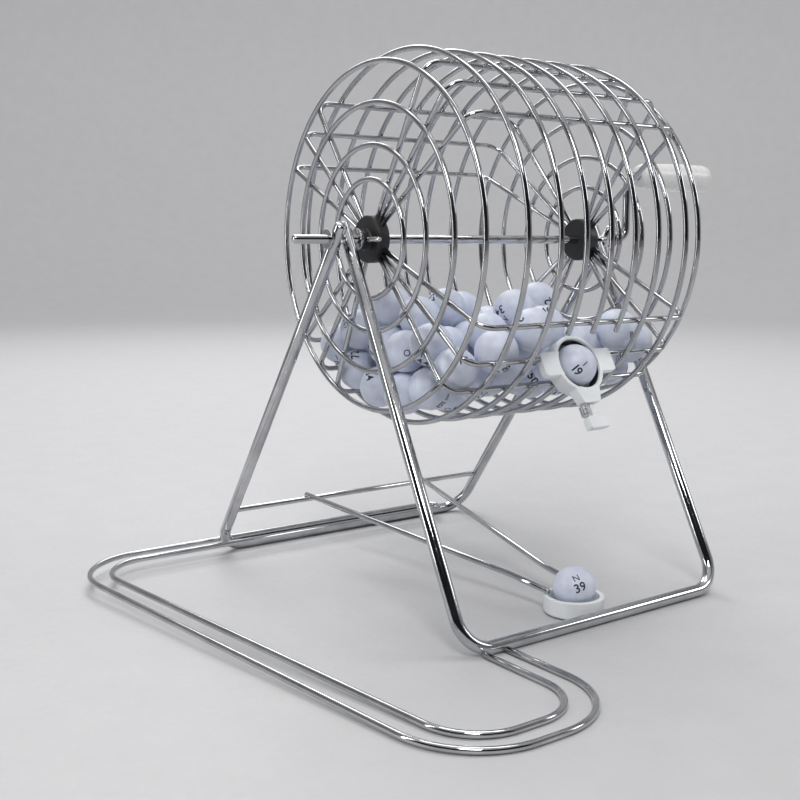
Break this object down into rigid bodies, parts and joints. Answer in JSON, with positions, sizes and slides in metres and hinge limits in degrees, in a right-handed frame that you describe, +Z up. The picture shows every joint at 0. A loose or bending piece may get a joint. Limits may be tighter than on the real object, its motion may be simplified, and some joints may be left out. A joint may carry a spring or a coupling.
{
  "type": "bingo cage",
  "caption": "Wire drum of loose numbered balls, turned by a crank in a bent-rod stand, with a pocket that lifts out one ball and a two-rail ball track.",
  "frame": {"origin": "bottom centre of the whole assembly's box, on the surface it stands on", "axes": "+X along the axle towards the crank, -Y towards the front, +Z up"},
  "size_m": [0.3754, 0.3182, 0.2865],
  "materials": {
    "drum_wire": "bright chrome plate",
    "stand_wire": "bright chrome plate",
    "hub": "black moulded",
    "grip": "pale moulded",
    "white_plastic": "white moulded",
    "ball": "printed white plastic"
  },
  "bodies": {
    "stand": {"ball_cup": "white_plastic", "chute_wires": "stand_wire", "drawn_ball": "ball", "front_frame": "stand_wire", "inner_rail": "stand_wire", "left_washer": "stand_wire", "outer_rail": "stand_wire", "rear_cross_wire": "stand_wire", "rear_frame": "stand_wire", "right_washer": "stand_wire"},
    "drum": {"hoop_left_1": "drum_wire", "hoop_left_2": "drum_wire", "hoop_left_3": "drum_wire", "hoop_left_4": "drum_wire", "hoop_mid_1": "drum_wire", "hoop_mid_2": "drum_wire", "hoop_mid_3": "drum_wire", "hoop_mid_4": "drum_wire", "hoop_mid_5": "drum_wire", "hoop_mid_6": "drum_wire", "hoop_mid_7": "drum_wire", "hoop_right_1": "drum_wire", "hoop_right_2": "drum_wire", "hoop_right_3": "drum_wire", "hoop_right_4": "drum_wire", "rib_01": "drum_wire", "rib_02": "drum_wire", "rib_03": "drum_wire", "rib_04": "drum_wire", "rib_05": "drum_wire", "rib_06": "drum_wire", "rib_07": "drum_wire", "rib_08": "drum_wire", "rib_09": "drum_wire", "rib_10": "drum_wire", "rib_11": "drum_wire", "rib_12": "drum_wire", "axle_crank": "stand_wire", "left_hub": "hub", "right_hub": "hub", "left_hub_pin": "stand_wire", "right_hub_pin": "stand_wire", "left_clip": "stand_wire", "right_clip": "stand_wire", "gate_pocket": "white_plastic", "caught_ball": "ball"},
    "grip": {"crank_grip": "grip"},
    "lever": {"gate_lever": "white_plastic"},
    "loose_balls": {"loose_balls": "ball"}
  },
  "joints": [
    {"name": "drum_turn", "type": "hinge", "parent": "stand", "child": "drum", "pos_m": [0.00294, 0.02092, 0.19], "axis": [1, 0, 0], "continuous": true},
    {"name": "grip_turn", "type": "hinge", "parent": "drum", "child": "grip", "pos_m": [0.15493, 0.02092, 0.228], "axis": [1, 0, 0], "continuous": true},
    {"name": "lever_pull", "type": "slide", "parent": "drum", "child": "lever", "axis": [0, -0.4848, -0.8746], "range_m": [0, 0.003], "stiffness_N_per_m": 150},
    {"name": "ball_swing", "type": "hinge", "parent": "stand", "child": "loose_balls", "pos_m": [0.00294, 0.02092, 0.19], "axis": [1, 0, 0], "range_deg": [-35, 35]}
  ]
}
